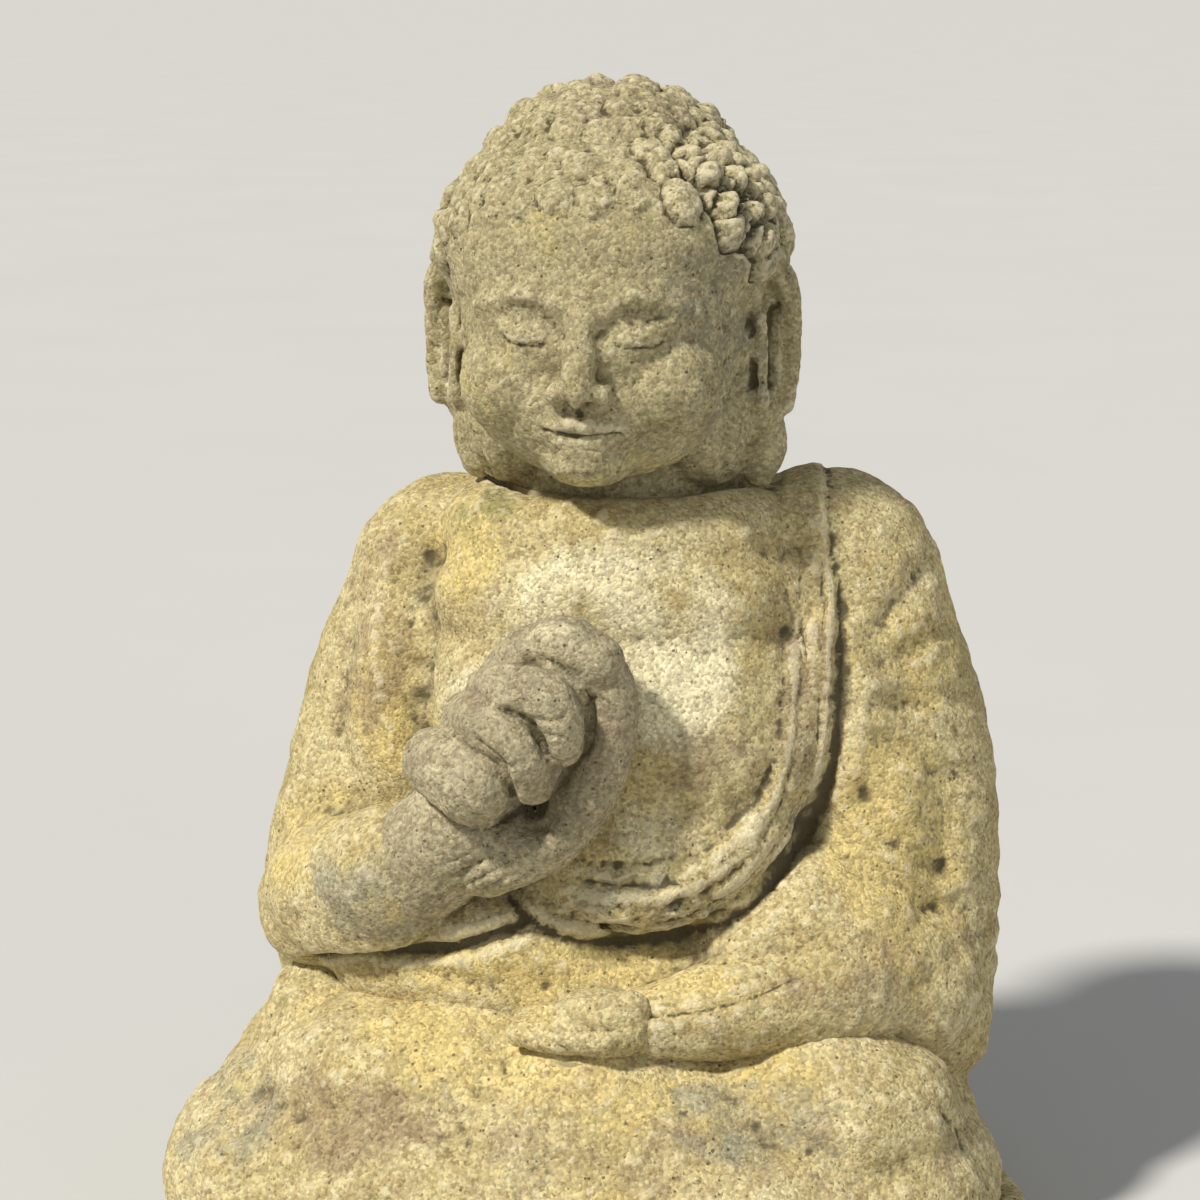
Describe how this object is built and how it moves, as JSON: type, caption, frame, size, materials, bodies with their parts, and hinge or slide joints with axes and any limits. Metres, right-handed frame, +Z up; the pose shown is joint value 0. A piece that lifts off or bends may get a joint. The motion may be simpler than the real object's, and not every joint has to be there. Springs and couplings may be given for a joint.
{
  "type": "seated buddha garden statue",
  "caption": "Seated garden buddha of weathered cast stone, one hand raised and one in the lap, made in dowelled sections that rest on a flat base.",
  "frame": {"origin": "centre of the flat underside, at ground level", "axes": "+Z up, the figure faces -Y, its left hand side is +X"},
  "size_m": [0.429, 0.3199, 0.56],
  "materials": {
    "body_stone": "weathered sandy cast stone",
    "head_stone": "greyer weathered cast stone",
    "hand_stone": "worn grey cast stone",
    "mortar": "sanded lime and cement mortar",
    "grout": "cement grout",
    "dowel_steel": "plain stainless bar"
  },
  "bodies": {
    "root": {"lap_casting": "body_stone", "torso_casting": "body_stone", "head_casting": "head_stone", "right_forearm_casting": "hand_stone", "left_hand_casting": "body_stone", "waist_mortar": "mortar", "neck_mortar": "mortar", "cuff_mortar": "mortar", "left_hand_mortar": "mortar", "neck_dowel": "dowel_steel", "waist_dowel_right": "dowel_steel", "waist_dowel_left": "dowel_steel", "forearm_dowel": "dowel_steel", "chest_pin": "dowel_steel", "left_hand_pin": "dowel_steel", "neck_dowel_grout": "grout", "waist_dowel_right_grout": "grout", "waist_dowel_left_grout": "grout", "forearm_dowel_grout": "grout", "chest_pin_grout": "grout", "left_hand_pin_grout": "grout"}
  },
  "joints": []
}
